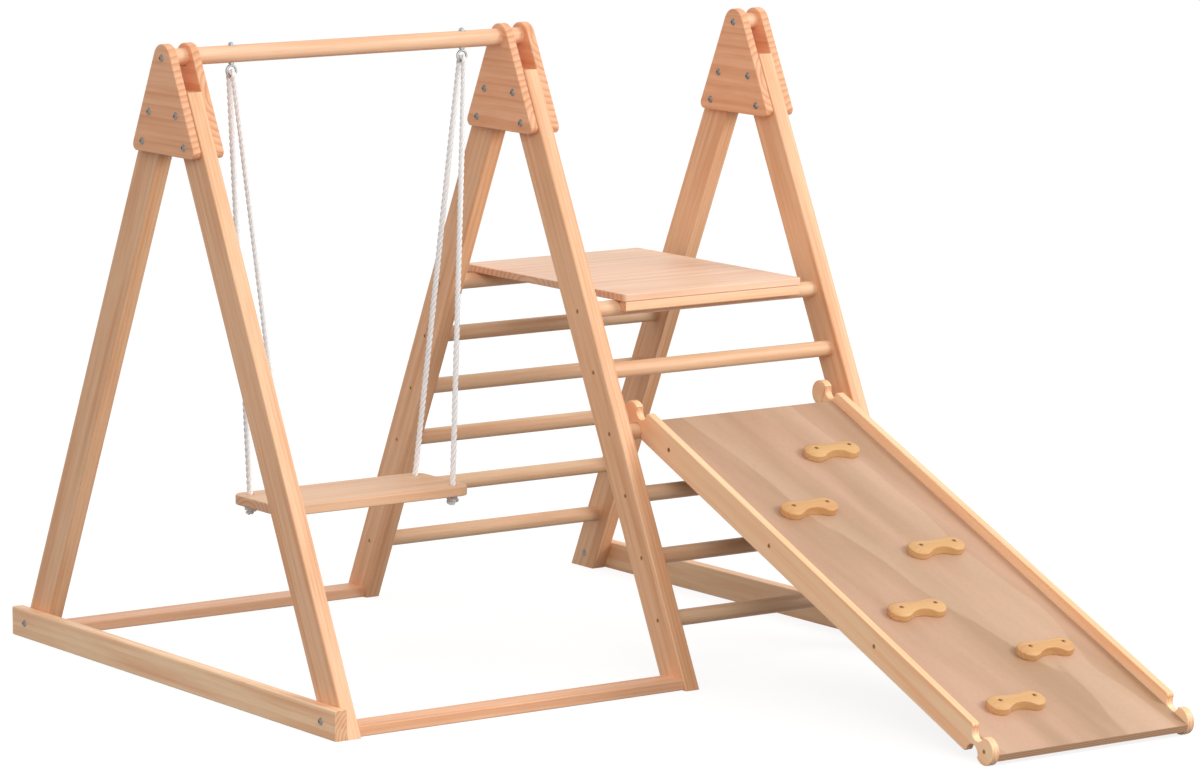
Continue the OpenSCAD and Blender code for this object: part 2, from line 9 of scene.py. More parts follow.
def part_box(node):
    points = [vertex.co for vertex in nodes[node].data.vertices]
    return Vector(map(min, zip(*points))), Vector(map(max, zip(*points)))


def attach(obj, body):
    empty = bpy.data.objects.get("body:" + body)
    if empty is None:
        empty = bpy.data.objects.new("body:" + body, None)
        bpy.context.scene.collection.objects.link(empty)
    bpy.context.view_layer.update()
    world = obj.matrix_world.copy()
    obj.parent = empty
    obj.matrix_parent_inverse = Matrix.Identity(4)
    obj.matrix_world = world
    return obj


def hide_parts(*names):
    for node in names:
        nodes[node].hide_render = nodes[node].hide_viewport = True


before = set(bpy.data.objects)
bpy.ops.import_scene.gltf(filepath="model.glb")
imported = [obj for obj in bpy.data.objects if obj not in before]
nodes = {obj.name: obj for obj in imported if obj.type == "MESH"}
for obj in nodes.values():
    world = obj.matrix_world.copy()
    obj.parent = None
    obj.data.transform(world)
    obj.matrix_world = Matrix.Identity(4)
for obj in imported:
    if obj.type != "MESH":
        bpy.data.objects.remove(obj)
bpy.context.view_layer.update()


# A-frame legs: six planed softwood bars, cut level at the foot and under the top
# bar and bolted between the gusset plates. Their long edges are eased, and a clear
# satin lacquer leaves the growth rings showing as long streaks.
def linear(srgb_hex):
    """Linear colour of an sRGB hex value, with full alpha."""
    shares = [int(srgb_hex[i:i + 2], 16) / 255 for i in (1, 3, 5)]
    return [c / 12.92 if c <= 0.04045 else ((c + 0.055) / 1.055) ** 2.4 for c in shares] + [1]


def add(tree, kind, inputs, **settings):
    """New node in a tree, each input set to a value or linked from another node's socket."""
    node = tree.nodes.new(kind)
    for name, value in settings.items():
        setattr(node, name, value)
    for key, value in inputs.items():
        if isinstance(value, bpy.types.NodeSocket):
            tree.links.new(value, node.inputs[key])
        else:
            node.inputs[key].default_value = value
    return node


# places of a Mix node's two colours and of the mixed one, whose names other sockets share
first, second, mixed = 6, 7, 2


def lie(node):
    """Centre of a node's surface and its long, middle and short directions."""
    mesh = nodes[node].data
    mesh.calc_loop_triangles()
    points = np.array([v.co for v in mesh.vertices])
    a, b, c = points[np.array([t.vertices for t in mesh.loop_triangles])].transpose(1, 0, 2)
    areas = np.linalg.norm(np.cross(b - a, c - a), axis=1)
    middles = (a + b + c) / 3
    centre = np.average(middles, axis=0, weights=areas)
    spread = (middles - centre).T @ ((middles - centre) * areas[:, None])
    ways = np.linalg.eigh(spread)[1].T[::-1]
    return Vector(centre), [Vector(w if w[np.abs(w).argmax()] > 0 else -w) for w in ways]


def wave_scale(ring):
    """Scale at which a Wave texture draws its rings one ring's width apart, in metres."""
    radians_per_metre = 20
    return 2 * math.pi / (radians_per_metre * ring)


# Pine under clear satin lacquer: pale early wood and warmer late wood in rings that come
# and go, fine fibres along the grain, and striped darker wood where the grain is cut
# across. Rings and fibres are drawn coarser than real ones so that they show.
def lacquered_pine(name, grain, face, heart, ring, pale, dark, contrast=0.5, cut_grain=0.55):
    """Wood with its grain in one direction and its growth rings round the trunk's heart."""
    fibre_width, band_width, edge_width = 0.0028, 0.022, 0.003
    fibre_stretch, grain_relief, faint_share = 22, 0.0004, 0.25
    cut_pale, cut_dark, edge_pale = "#E2AB82", "#BA7E57", "#F6D3AE"
    late_red, red_share = "#D88F62", 0.3
    x = grain.normalized()
    z = (face - face.dot(x) * x).normalized()
    wood = bpy.data.materials.new(name)
    wood.use_nodes = True
    tree = wood.node_tree
    tree.nodes.clear()
    place = add(tree, "ShaderNodeTexCoord", {})
    trunk = add(tree, "ShaderNodeMapping", {
        "Vector": place.outputs["Object"], "Location": heart,
        "Rotation": Matrix((x, z.cross(x), z)).transposed().to_euler(),
        "Scale": (fibre_stretch, 1, 1)}, vector_type="TEXTURE")
    rings = add(tree, "ShaderNodeTexWave", {
        "Vector": trunk.outputs["Vector"], "Scale": wave_scale(ring),
        "Distortion": 7, "Detail": 2.5, "Detail Scale": 0.3, "Detail Roughness": 0.6},
        wave_type="RINGS", rings_direction="X", wave_profile="SAW")
    late = add(tree, "ShaderNodeMapRange", {
        "Value": rings.outputs["Fac"], "From Min": 0.25}, interpolation_type="SMOOTHSTEP")
    bands = add(tree, "ShaderNodeTexNoise", {
        "Vector": trunk.outputs["Vector"], "Scale": 1 / band_width, "Detail": 2, "Roughness": 0.55})
    showing = add(tree, "ShaderNodeMapRange", {
        "Value": bands.outputs["Fac"], "From Min": 0.38, "From Max": 0.66,
        "To Min": faint_share * contrast, "To Max": contrast})
    figure = add(tree, "ShaderNodeMath", {
        0: late.outputs["Result"], 1: showing.outputs["Result"]}, operation="MULTIPLY")
    fibres = add(tree, "ShaderNodeTexNoise", {
        "Vector": trunk.outputs["Vector"], "Scale": 1 / fibre_width, "Detail": 3, "Roughness": 0.6})
    streak = add(tree, "ShaderNodeMapRange", {
        "Value": fibres.outputs["Fac"], "From Min": 0.45, "From Max": 0.75, "To Max": 0.3})
    warmth = add(tree, "ShaderNodeMapRange", {
        "Value": bands.outputs["Fac"], "From Min": 0.42, "From Max": 0.68, "To Max": 0.55})
    across = add(tree, "ShaderNodeVectorMath", {
        0: place.outputs["Normal"], 1: x}, operation="DOT_PRODUCT")
    cut = add(tree, "ShaderNodeMath", {0: across.outputs["Value"]}, operation="ABSOLUTE")
    end = add(tree, "ShaderNodeMapRange", {
        "Value": cut.outputs["Value"], "From Min": 0.5, "From Max": 0.9, "To Max": cut_grain})
    end_stripe = add(tree, "ShaderNodeMix", {
        "Factor": late.outputs["Result"], first: linear(cut_pale), second: linear(cut_dark)},
        data_type="RGBA")
    rounded = add(tree, "ShaderNodeBevel", {"Radius": edge_width}, samples=4)
    flat = add(tree, "ShaderNodeNewGeometry", {})
    bend = add(tree, "ShaderNodeVectorMath", {
        0: rounded.outputs["Normal"], 1: flat.outputs["Normal"]}, operation="DOT_PRODUCT")
    edge = add(tree, "ShaderNodeMapRange", {
        "Value": bend.outputs["Value"], "From Min": 0.995, "From Max": 0.85, "To Max": 0.25})
    colour = add(tree, "ShaderNodeMix", {
        "Factor": figure.outputs["Value"], first: linear(pale), second: linear(dark)},
        data_type="RGBA")
    reddish = [(1 - red_share) * d + red_share * r for d, r in zip(linear(dark), linear(late_red))]
    tints = ((streak, linear(dark)), (warmth, reddish), (end, end_stripe.outputs[mixed]),
             (edge, linear(edge_pale)))
    for share, tint in tints:
        colour = add(tree, "ShaderNodeMix", {
            "Factor": share.outputs["Result"], first: colour.outputs[mixed], second: tint},
            data_type="RGBA")
    gloss = add(tree, "ShaderNodeMapRange", {
        "Value": fibres.outputs["Fac"], "From Min": 0.3, "From Max": 0.7,
        "To Min": 0.42, "To Max": 0.6})
    relief = add(tree, "ShaderNodeMath", {
        0: figure.outputs["Value"], 1: fibres.outputs["Fac"]}, operation="ADD")
    bump = add(tree, "ShaderNodeBump", {
        "Height": relief.outputs["Value"], "Strength": 0.2, "Distance": grain_relief})
    shader = add(tree, "ShaderNodeBsdfPrincipled", {
        "Base Color": colour.outputs[mixed], "Roughness": gloss.outputs["Result"],
        "Normal": bump.outputs["Normal"], "Specular IOR Level": 0.35,
        "Coat Weight": 0.08, "Coat Roughness": 0.35})
    add(tree, "ShaderNodeOutputMaterial", {"Surface": shader.outputs["BSDF"]})
    return wood


def dress(piece, material):
    """Give a piece one material in place of any that it has."""
    piece.data.materials.clear()
    piece.data.materials.append(material)


def sawn_aside(i, spread):
    """How far to the side of the trunk's heart the i-th piece of a batch is sawn, so that no two match."""
    next_share = 0.618
    return (i * next_share % 1 - 0.5) * spread


def saw_timber(names, ring, heart_depth, pale, dark, contrast=0.5):
    """Dress a batch of bars in pine, each with the trunk's heart behind its broad face."""
    trunk_spread = 0.08
    for i, name in enumerate(names):
        centre, (long, middle, short) = lie(name)
        heart = centre + short * heart_depth + middle * sawn_aside(i, trunk_spread)
        dress(nodes[name], lacquered_pine("lacquered_pine_" + name, long, short, heart, ring,
                                          pale, dark, contrast))


legs = [side + "_" + end + "_leg"
        for side in ("left", "middle", "right") for end in ("front", "rear")]
saw_timber(legs, ring=0.008, heart_depth=0.045, pale="#EFBE95", dark="#D69665", contrast=0.65)


# Gusset plates: six plates of glued softwood, a pair to each A-frame's top, bolted
# through the legs. Their grain runs level, so the sloping edges show cut grain, and
# both rims are rounded over with a router.
def eased(node, name, ease, least_rim):
    """Copy of a node with its outer edges rounded; rims smaller than least_rim stay sharp."""
    same_place, flat_turn, sharp_turn, steps = 1e-6, math.radians(0.5), 0.6, 3
    work = bmesh.new()
    work.from_mesh(nodes[node].data)
    bmesh.ops.remove_doubles(work, verts=work.verts, dist=same_place)
    bmesh.ops.dissolve_limit(work, angle_limit=flat_turn, verts=work.verts, edges=work.edges)
    sharp = {e for e in work.edges
             if e.is_manifold and e.is_convex and e.calc_face_angle() > sharp_turn}
    chosen = []
    while sharp:
        rim, reach = [], [sharp.pop()]
        while reach:
            edge = reach.pop()
            rim.append(edge)
            near = {e for v in edge.verts for e in v.link_edges if e in sharp}
            sharp -= near
            reach.extend(near)
        points = np.array([v.co for e in rim for v in e.verts])
        if np.ptp(points, axis=0).max() > least_rim:
            chosen.extend(rim)
    bmesh.ops.bevel(work, geom=chosen, offset=ease, offset_type="OFFSET", segments=steps,
                    profile=0.5, affect="EDGES", clamp_overlap=False)
    mesh = bpy.data.meshes.new(name)
    work.to_mesh(mesh)
    work.free()
    mesh.shade_smooth()
    piece = bpy.data.objects.new(name, mesh)
    bpy.context.scene.collection.objects.link(piece)
    piece.modifiers.new("flat_faces", "WEIGHTED_NORMAL").weight = 100
    return piece


router_r, least_routed_rim = 0.002, 0.05
plate_heart_depth, plate_trunk_spread = 0.03, 0.3
plates = ("left_outer", "left_inner", "middle_swing_side", "middle_tower_side", "right_inner",
          "right_outer")
for i, plate in enumerate(plates):
    node = plate + "_gusset"
    piece = eased(node, plate + "_plate", router_r, least_routed_rim)
    aside = sawn_aside(i, plate_trunk_spread)
    dress(piece, lacquered_pine(
        "lacquered_pine_" + piece.name, grain=Vector((0, 1, 0)), face=Vector((1, 0, 0)),
        heart=lie(node)[0] + Vector((plate_heart_depth, 0, aside)),
        ring=0.012, pale="#F5B98F", dark="#DB905F", contrast=0.6))
    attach(piece, "frame")
    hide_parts(node)


# Top bar of the swing and the spacer dowel in the right A-frame: turned softwood bars
# of the same diameter, held between plates, the top bar by a bolt in each end and the
# dowel by one bolt right through it.
saw_timber(("swing_bar", "right_spacer_dowel"), ring=0.007, heart_depth=0.03,
           pale="#F3C6A2", dark="#DEA378")


# Base beams and floor rails: planed softwood bars that tie the feet together, bolted
# outside the end frames and screwed flat between the left and the middle frame.
saw_timber(("left_base_beam", "right_base_beam"), ring=0.008, heart_depth=0.05,
           pale="#FFD9B0", dark="#EFB080", contrast=0.7)
saw_timber(("front_floor_rail", "rear_floor_rail"), ring=0.008, heart_depth=0.05,
           pale="#F4C09A", dark="#DC9C6E")


# Rungs: twelve turned softwood dowels, six to each side of the tower, butted between
# the legs and held by a screw through the leg into each end.
rungs_a_side = 6
rungs = [side + "_rung_" + str(k) for side in ("front", "rear") for k in range(1, rungs_a_side + 1)]
saw_timber(rungs, ring=0.007, heart_depth=0.03, pale="#E9C39E", dark="#D5A27A")


# Platform: a board of glued softwood staves on the two top rungs, with a batten
# screwed under it outside each rung. Its rims are rounded over.
board_heart = Vector((0, 0.05, -0.06))
board = eased("platform_board", "platform", router_r, least_routed_rim)
dress(board, lacquered_pine(
    "lacquered_pine_platform", grain=Vector((1, 0, 0)), face=Vector((0, 0, 1)),
    heart=lie("platform_board")[0] + board_heart,
    ring=0.014, pale="#F6D0B3", dark="#E7B996", contrast=0.4))
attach(board, "frame")
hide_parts("platform_board")
saw_timber(("platform_front_batten", "platform_rear_batten"), ring=0.008, heart_depth=0.04,
           pale="#F8CDA6", dark="#E4AE82")


# Bolts, cap nuts and screws: turned steel with a zinc plating that has dulled unevenly,
# so its shine changes in soft patches. The wood screws are plated yellow, and the eye
# bolts over the swing are brighter.
def zinc_plated_steel(name, dull, bright):
    """Plated steel that varies between a dull and a bright colour in patches."""
    patch_width, pit_depth = 0.004, 0.0001
    steel = bpy.data.materials.new(name)
    steel.use_nodes = True
    tree = steel.node_tree
    tree.nodes.clear()
    place = add(tree, "ShaderNodeTexCoord", {})
    patches = add(tree, "ShaderNodeTexNoise", {
        "Vector": place.outputs["Object"], "Scale": 1 / patch_width, "Detail": 4, "Roughness": 0.6})
    tint = add(tree, "ShaderNodeMix", {
        "Factor": patches.outputs["Fac"], first: linear(dull), second: linear(bright)},
        data_type="RGBA")
    dulling = add(tree, "ShaderNodeMapRange", {
        "Value": patches.outputs["Fac"], "From Min": 0.3, "From Max": 0.7,
        "To Min": 0.42, "To Max": 0.6})
    pitting = add(tree, "ShaderNodeBump", {
        "Height": patches.outputs["Fac"], "Strength": 0.15, "Distance": pit_depth})
    shader = add(tree, "ShaderNodeBsdfPrincipled", {
        "Base Color": tint.outputs[mixed], "Metallic": 1, "Roughness": dulling.outputs["Result"],
        "Normal": pitting.outputs["Normal"]})
    add(tree, "ShaderNodeOutputMaterial", {"Surface": shader.outputs["BSDF"]})
    return steel


platings = (
    ("dull_zinc_plated_steel", "#78736F", "#9A948F",
     ("gusset_bolts", "gusset_cap_nuts", "bar_end_bolts", "base_beam_bolts", "base_beam_cap_nuts")),
    ("yellow_zinc_plated_steel", "#9C7A55", "#C09A6E",
     ("floor_rail_screws", "rung_screws", "platform_batten_screws", "ramp_rail_screws",
      "climbing_hold_screws")),
    ("bright_zinc_plated_steel", "#A3A4A6", "#C4C4C2",
     ("swing_eye_bolts", "eye_bolt_washers", "eye_bolt_nuts")))
for plating, dull, bright, fasteners in platings:
    steel = zinc_plated_steel(plating, dull, bright)
    for node in fasteners:
        dress(nodes[node], steel)


# Ramp rails: two planed softwood boards, each sawn at both ends to a round lobe between
# half-round notches that seat on a rung, with their edges rounded over.
rail_heart_depth, rail_heart_aside = 0.04, 0.02
for side in ("left", "right"):
    node = "ramp_" + side + "_rail"
    piece = eased(node, "ramp_" + side + "_side", router_r, least_routed_rim)
    centre, (long, middle, short) = lie(node)
    dress(piece, lacquered_pine(
        "lacquered_pine_" + piece.name, long, short,
        heart=centre + short * rail_heart_depth + middle * rail_heart_aside,
        ring=0.008, pale="#FFD4AA", dark="#FFB986", contrast=0.6))
    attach(piece, "ramp")
    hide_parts(node)


# Ramp panel: birch plywood set between the rails and held by screws through them. Its
# faces are rotary-cut veneer with a broad, faint figure, and its edges show the plies.
# The pores are drawn coarser than real ones so that they show.
ply, veneer_ring, veneer_pore, pore_depth = 0.0021, 0.08, 0.002, 0.0003
log_depth, log_aside, log_stretch = 0.2, 0.03, 5
cloud_width, cloud_stretch = 0.1, 1.25
veneer_pale, veneer_dark = "#C29B81", "#AA8769"
pale_line_tint, dark_line_tint, fleck_tint = "#CFAF93", "#9B7658", "#A57B59"
ply_pale, ply_dark = "#C29977", "#A37959"
centre, (long, middle, short) = lie("ramp_panel")
plywood = bpy.data.materials.new("lacquered_birch_plywood")
plywood.use_nodes = True
tree = plywood.node_tree
tree.nodes.clear()
place = add(tree, "ShaderNodeTexCoord", {})
log = add(tree, "ShaderNodeMapping", {
    "Vector": place.outputs["Object"], "Location": centre + short * log_depth + middle * log_aside,
    "Rotation": Matrix((long, short.cross(long), short)).transposed().to_euler(),
    "Scale": (log_stretch, 1, 1)}, vector_type="TEXTURE")
arches = add(tree, "ShaderNodeTexWave", {
    "Vector": log.outputs["Vector"], "Scale": wave_scale(veneer_ring),
    "Distortion": 11, "Detail": 4, "Detail Scale": 0.55, "Detail Roughness": 0.55},
    wave_type="RINGS", rings_direction="X", wave_profile="SAW")
pale_line = add(tree, "ShaderNodeMapRange", {
    "Value": arches.outputs["Fac"], "From Min": 0.5, "From Max": 0.97, "To Max": 0.38},
    interpolation_type="SMOOTHSTEP")
dark_line = add(tree, "ShaderNodeMapRange", {
    "Value": arches.outputs["Fac"], "From Min": 0.975, "To Max": 0.28},
    interpolation_type="SMOOTHSTEP")
drawn_out = add(tree, "ShaderNodeMapping", {
    "Vector": log.outputs["Vector"], "Scale": (1 / cloud_stretch, 1, 1)})
cloud = add(tree, "ShaderNodeTexNoise", {
    "Vector": drawn_out.outputs["Vector"], "Scale": 1 / cloud_width, "Detail": 3, "Roughness": 0.5})
patch = add(tree, "ShaderNodeMapRange", {
    "Value": cloud.outputs["Fac"], "From Min": 0.35, "From Max": 0.65})
pores = add(tree, "ShaderNodeTexNoise", {
    "Vector": log.outputs["Vector"], "Scale": 1 / veneer_pore, "Detail": 2, "Roughness": 0.6})
flecks = add(tree, "ShaderNodeMapRange", {
    "Value": pores.outputs["Fac"], "From Min": 0.55, "From Max": 0.8, "To Max": 0.3})
veneer = add(tree, "ShaderNodeMix", {
    "Factor": patch.outputs["Result"], first: linear(veneer_pale), second: linear(veneer_dark)},
    data_type="RGBA")
for share, tint in ((pale_line, pale_line_tint), (dark_line, dark_line_tint), (flecks, fleck_tint)):
    veneer = add(tree, "ShaderNodeMix", {
        "Factor": share.outputs["Result"], first: veneer.outputs[mixed], second: linear(tint)},
        data_type="RGBA")
depth = add(tree, "ShaderNodeVectorMath", {
    0: place.outputs["Object"], 1: short}, operation="DOT_PRODUCT")
layer = add(tree, "ShaderNodeMath", {
    0: depth.outputs["Value"], 1: math.pi / ply}, operation="MULTIPLY")
layer = add(tree, "ShaderNodeMath", {0: layer.outputs["Value"]}, operation="SINE")
glue = add(tree, "ShaderNodeMapRange", {
    "Value": layer.outputs["Value"], "From Min": -0.3, "From Max": 0.3})
plies = add(tree, "ShaderNodeMix", {
    "Factor": glue.outputs["Result"], first: linear(ply_pale), second: linear(ply_dark)},
    data_type="RGBA")
facing = add(tree, "ShaderNodeVectorMath", {
    0: place.outputs["Normal"], 1: short}, operation="DOT_PRODUCT")
on_face = add(tree, "ShaderNodeMath", {0: facing.outputs["Value"]}, operation="ABSOLUTE")
colour = add(tree, "ShaderNodeMix", {
    "Factor": on_face.outputs["Value"], first: plies.outputs[mixed], second: veneer.outputs[mixed]},
    data_type="RGBA")
gloss = add(tree, "ShaderNodeMapRange", {
    "Value": pores.outputs["Fac"], "From Min": 0.3, "From Max": 0.7, "To Min": 0.44, "To Max": 0.6})
bump = add(tree, "ShaderNodeBump", {
    "Height": pores.outputs["Fac"], "Strength": 0.15, "Distance": pore_depth})
shader = add(tree, "ShaderNodeBsdfPrincipled", {
    "Base Color": colour.outputs[mixed], "Roughness": gloss.outputs["Result"],
    "Normal": bump.outputs["Normal"], "Specular IOR Level": 0.35,
    "Coat Weight": 0.06, "Coat Roughness": 0.4})
add(tree, "ShaderNodeOutputMaterial", {"Surface": shader.outputs["BSDF"]})
dress(nodes["ramp_panel"], plywood)


# Climbing holds: six dumb-bell shaped blocks of wood with a domed top, their rims sanded
# round, each held on the panel by two sunk screws.
hold_count, sanding_step, sanding_passes = 6, 0.001, 8
hold_heart_depth, hold_heart_step = 0.03, 0.03
for k in range(1, hold_count + 1):
    node = "climbing_hold_" + str(k)
    blank = bpy.data.objects.new("blank", nodes[node].data.copy())
    bpy.context.scene.collection.objects.link(blank)
    skin = blank.modifiers.new("even_skin", "REMESH")
    skin.voxel_size = sanding_step
    skin.use_smooth_shade = True
    sanding = blank.modifiers.new("sanding", "SMOOTH")
    sanding.iterations = sanding_passes
    sanded = blank.evaluated_get(bpy.context.evaluated_depsgraph_get())
    piece = bpy.data.objects.new("dumb_bell_hold_" + str(k), bpy.data.meshes.new_from_object(sanded))
    bpy.data.objects.remove(blank)
    bpy.context.scene.collection.objects.link(piece)
    centre, (long, middle, short) = lie(node)
    dress(piece, lacquered_pine(
        "lacquered_pine_" + piece.name, long, short,
        heart=centre + middle * hold_heart_step * (k % 3 - 1) - short * hold_heart_depth,
        ring=0.007, pale="#D2A670", dark="#B88652", contrast=0.3, cut_grain=0.25))
    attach(piece, "ramp")
    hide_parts(node)


# Swing seat: a softwood board with round corners and four holes for the ropes, its
# rims and the holes' mouths rounded over.
seat_ease, least_seat_rim = 0.003, 0.005
seat_heart = Vector((0, 0.03, -0.05))
seat = eased("swing_seat", "seat_board", seat_ease, least_seat_rim)
dress(seat, lacquered_pine(
    "lacquered_pine_seat", grain=Vector((1, 0, 0)), face=Vector((0, 0, 1)),
    heart=lie("swing_seat")[0] + seat_heart,
    ring=0.011, pale="#EBC19D", dark="#D9A77D", contrast=0.4))
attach(seat, "swing")
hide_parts("swing_seat")


# Swing ropes: two lengths of white three-strand rope, each laid over the lower wire of
# one eye and led down through two of the seat's holes, with a stopper knot under each.
rope_d, lay_turn, rope_step = 0.012, 0.04, 0.0024
strands, strand_sides = 3, 8
eye_spread, eye_wire, wire_gap = 0.530, 0.005, 0.0003
knot_d, knot_h, knot_slack, rope_tail = 0.026, 0.015, 0.002, 0.003
knot_turns, knot_ease_share, knot_steps = 1.75, 0.24, 60
hole_end, hole_edge = 0.029, 0.028
bend_r, bend_points = eye_wire / 2 + wire_gap + rope_d / 2, 37

# White polyester rope: matt twisted yarn with a soft fuzz, and a little painted shade: grey between the
# yarns, where the bump sinks.
yarn_width, yarn_stretch, yarn_relief = 0.0009, 4, 0.0004
rope_white = bpy.data.materials.new("white_polyester_rope")
rope_white.use_nodes = True
tree = rope_white.node_tree
tree.nodes.clear()
place = add(tree, "ShaderNodeTexCoord", {})
drawn = add(tree, "ShaderNodeMapping", {
    "Vector": place.outputs["Object"], "Scale": (1, 1, 1 / yarn_stretch)})
yarn = add(tree, "ShaderNodeTexNoise", {
    "Vector": drawn.outputs["Vector"], "Scale": 1 / yarn_width, "Detail": 2, "Roughness": 0.6})
# painted shade: the yarn noise that sinks the bump also greys the colour there
shade = add(tree, "ShaderNodeMix", {
    "Factor": yarn.outputs["Fac"], first: linear("#EEECEB"), second: linear("#FCFBFB")},
    data_type="RGBA")
fuzz = add(tree, "ShaderNodeMapRange", {
    "Value": yarn.outputs["Fac"], "To Min": 0.75, "To Max": 0.95})
bump = add(tree, "ShaderNodeBump", {
    "Height": yarn.outputs["Fac"], "Strength": 0.4, "Distance": yarn_relief})
shader = add(tree, "ShaderNodeBsdfPrincipled", {
    "Base Color": shade.outputs[mixed], "Roughness": fuzz.outputs["Result"],
    "Normal": bump.outputs["Normal"], "Sheen Weight": 0.25, "Specular IOR Level": 0.2})
add(tree, "ShaderNodeOutputMaterial", {"Surface": shader.outputs["BSDF"]})

# three strands that turn round the rope's line, each a round curve swept along it
laid = bpy.data.node_groups.new("three_strand_rope", "GeometryNodeTree")
laid.interface.new_socket("Line", in_out="INPUT", socket_type="NodeSocketGeometry")
rope_sizes = {"Rope Diameter": rope_d, "Lay Length": lay_turn, "Step": rope_step}
rope_inputs = {}
for name in rope_sizes:
    socket = laid.interface.new_socket(name, in_out="INPUT", socket_type="NodeSocketFloat")
    rope_inputs[name] = socket.identifier
laid.interface.new_socket("Rope", in_out="OUTPUT", socket_type="NodeSocketGeometry")
given = add(laid, "NodeGroupInput", {})
line = add(laid, "GeometryNodeResampleCurve", {
    "Curve": given.outputs["Line"], "Length": given.outputs["Step"]}, mode="LENGTH")
line = add(laid, "GeometryNodeSetCurveNormal", {
    "Curve": line.outputs["Curve"]}, mode="MINIMUM_TWIST")
run = add(laid, "GeometryNodeSplineParameter", {})
turn = add(laid, "ShaderNodeMath", {
    0: run.outputs["Length"], 1: given.outputs["Lay Length"]}, operation="DIVIDE")
side = add(laid, "GeometryNodeInputNormal", {})
along = add(laid, "GeometryNodeInputTangent", {})
other = add(laid, "ShaderNodeVectorMath", {
    0: along.outputs["Tangent"], 1: side.outputs["Normal"]}, operation="CROSS_PRODUCT")
packing = 1 + 1 / math.sin(math.pi / strands)
strand_r = add(laid, "ShaderNodeMath", {
    0: given.outputs["Rope Diameter"], 1: 2 * packing}, operation="DIVIDE")
lay_r = add(laid, "ShaderNodeMath", {
    0: strand_r.outputs["Value"], 1: packing - 1}, operation="MULTIPLY")
strand_round = add(laid, "GeometryNodeCurvePrimitiveCircle", {
    "Resolution": strand_sides, "Radius": strand_r.outputs["Value"]})
joined = add(laid, "GeometryNodeJoinGeometry", {})
for k in range(strands):
    angle = add(laid, "ShaderNodeMath", {
        0: turn.outputs["Value"], 1: 2 * math.pi, 2: 2 * math.pi * k / strands},
        operation="MULTIPLY_ADD")
    reach = []
    for way, axis in (("COSINE", side.outputs["Normal"]), ("SINE", other.outputs["Vector"])):
        share = add(laid, "ShaderNodeMath", {0: angle.outputs["Value"]}, operation=way)
        far = add(laid, "ShaderNodeMath", {
            0: share.outputs["Value"], 1: lay_r.outputs["Value"]}, operation="MULTIPLY")
        reach.append(add(laid, "ShaderNodeVectorMath", {
            0: axis, "Scale": far.outputs["Value"]}, operation="SCALE"))
    offset = add(laid, "ShaderNodeVectorMath", {
        0: reach[0].outputs["Vector"], 1: reach[1].outputs["Vector"]}, operation="ADD")
    strand = add(laid, "GeometryNodeSetPosition", {
        "Geometry": line.outputs["Curve"], "Offset": offset.outputs["Vector"]})
    tube = add(laid, "GeometryNodeCurveToMesh", {
        "Curve": strand.outputs["Geometry"], "Profile Curve": strand_round.outputs["Curve"],
        "Fill Caps": True})
    laid.links.new(tube.outputs["Mesh"], joined.inputs["Geometry"])
smooth = add(laid, "GeometryNodeSetShadeSmooth", {"Geometry": joined.outputs["Geometry"]})
real = add(laid, "GeometryNodeRealizeInstances", {"Geometry": smooth.outputs["Geometry"]})
coloured = add(laid, "GeometryNodeSetMaterial", {
    "Geometry": real.outputs["Geometry"], "Material": rope_white})
add(laid, "NodeGroupOutput", {"Rope": coloured.outputs["Geometry"]})

seat_low, seat_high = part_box("swing_seat")
seat_mid = (seat_low + seat_high) / 2


def eased_in(t):
    """Smooth step from zero to one, flat at both ends."""
    t = min(max(t, 0), 1)
    return t * t * (3 - 2 * t)


def knot_line(hole, way):
    """Line of a stopper knot from the seat's underside down to the rope's loose end."""
    points = []
    start = Vector((hole.x, hole.y, seat_low.z - knot_slack))
    for i in range(knot_steps + 1):
        t = i / knot_steps
        swell = eased_in(t / knot_ease_share) * eased_in((1 - t) / knot_ease_share)
        out = (knot_d - rope_d) / 2 * swell
        angle = 2 * math.pi * knot_turns * t * way
        points.append(start + Vector((out * math.cos(angle), out * math.sin(angle), -knot_h * t)))
    return points + [points[-1] - Vector((0, 0, rope_tail))]


across = Vector((0, 1, 0))
wire_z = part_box("swing_eye_bolts")[0].z + eye_wire / 2
for e, hand in ((-1, "left"), (1, "right")):
    wire = Vector((seat_mid.x + e * eye_spread / 2, seat_mid.y, wire_z))
    hole_x = seat_mid.x + e * ((seat_high.x - seat_low.x) / 2 - hole_end)
    hole_y = (seat_high.y - seat_low.y) / 2 - hole_edge
    front, rear = (Vector((hole_x, seat_mid.y + f * hole_y, seat_mid.z)) for f in (-1, 1))
    fall = (front + rear) / 2 - wire
    down = fall.normalized()
    leave = math.atan2(hole_y, fall.length) + math.acos(bend_r / math.hypot(hole_y, fall.length))
    over = [wire + bend_r * (math.cos(t) * down + math.sin(t) * across)
            for t in np.linspace(2 * math.pi - leave, leave, bend_points)]
    path = knot_line(front, 1)[::-1] + [front] + over + [rear] + knot_line(rear, -1)
    line = bpy.data.curves.new(hand + "_rope_line", "CURVE")
    line.dimensions = "3D"
    spline = line.splines.new("POLY")
    spline.points.add(len(path) - 1)
    for point, p in zip(spline.points, path):
        point.co = (*p, 1)
    guide = bpy.data.objects.new(line.name, line)
    bpy.context.scene.collection.objects.link(guide)
    twist = guide.modifiers.new("twist", "NODES")
    twist.node_group = laid
    for name, size in rope_sizes.items():
        twist[rope_inputs[name]] = size
    shown = guide.evaluated_get(bpy.context.evaluated_depsgraph_get())
    rope = bpy.data.objects.new("swing_rope_" + hand, bpy.data.meshes.new_from_object(shown))
    bpy.data.objects.remove(guide)
    bpy.context.scene.collection.objects.link(rope)
    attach(rope, "swing")
    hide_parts("swing_" + hand + "_rope")


